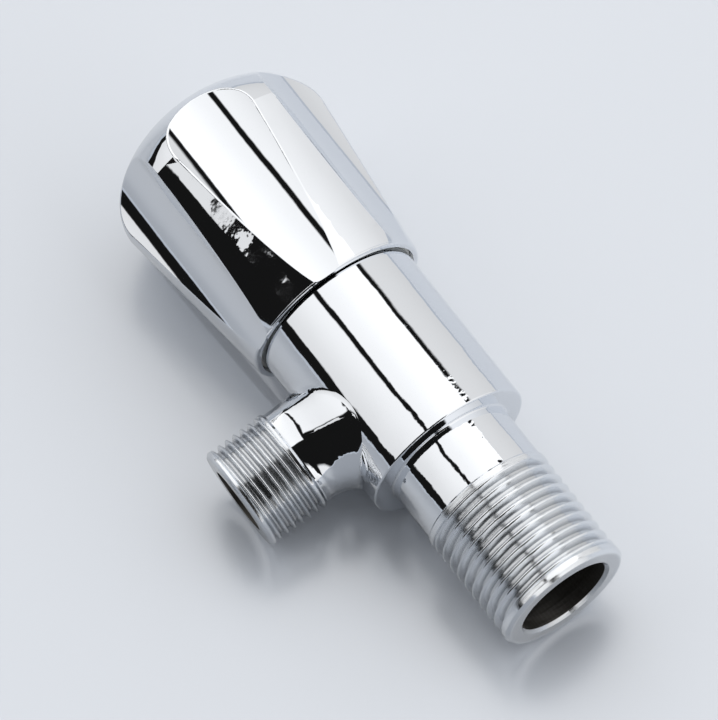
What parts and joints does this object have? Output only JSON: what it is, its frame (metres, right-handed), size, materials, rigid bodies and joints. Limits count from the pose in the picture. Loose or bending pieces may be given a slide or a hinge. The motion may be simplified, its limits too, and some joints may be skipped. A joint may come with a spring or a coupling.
{
  "type": "angle stop valve",
  "caption": "Chromed quarter-turn angle stop valve: male threaded inlet, right-angle male outlet, fluted handle on a ceramic disc cartridge.",
  "frame": {"origin": "where the centreline of the inlet and handle meets the centreline of the outlet", "axes": "+Y along the main axis out of the inlet, toward the wall; -Y toward the handle; +Z out of the outlet; +X to the right when facing the handle"},
  "size_m": [0.0334, 0.0965, 0.0469],
  "materials": {
    "chrome": "bright chromium plate over brass or zinc alloy, mirror polished",
    "brass": "turned, unplated",
    "seal_rubber": "matte nitrile rubber",
    "white_plastic": "moulded acetal, natural white",
    "ceramic": "lapped alumina ceramic, off-white",
    "steel": "stainless steel",
    "marker_blue": "blue cold-water marker ring"
  },
  "bodies": {
    "body": {"valve_body": "chrome", "cartridge_housing": "brass", "housing_o_ring": "seal_rubber", "seat_seal": "seal_rubber", "seal_support_ring": "white_plastic", "flow_screen": "steel", "fixed_disc": "ceramic", "skirt_glide_ring": "white_plastic"},
    "rotor": {"handle": "chrome", "handle_insert": "white_plastic", "handle_screw": "steel", "lock_washer": "steel", "index_cap": "chrome", "index_marker": "marker_blue", "spindle": "brass", "glide_washer": "white_plastic", "lower_spindle_o_ring": "seal_rubber", "upper_spindle_o_ring": "seal_rubber", "stop_ring": "brass", "spindle_clip": "steel", "disc_carrier": "white_plastic", "turning_disc": "ceramic"}
  },
  "joints": [
    {"name": "handle_turn", "type": "hinge", "parent": "body", "child": "rotor", "pos_m": [0, -0.03, 0], "axis": [0, -1, 0], "range_deg": [0, 90]}
  ]
}
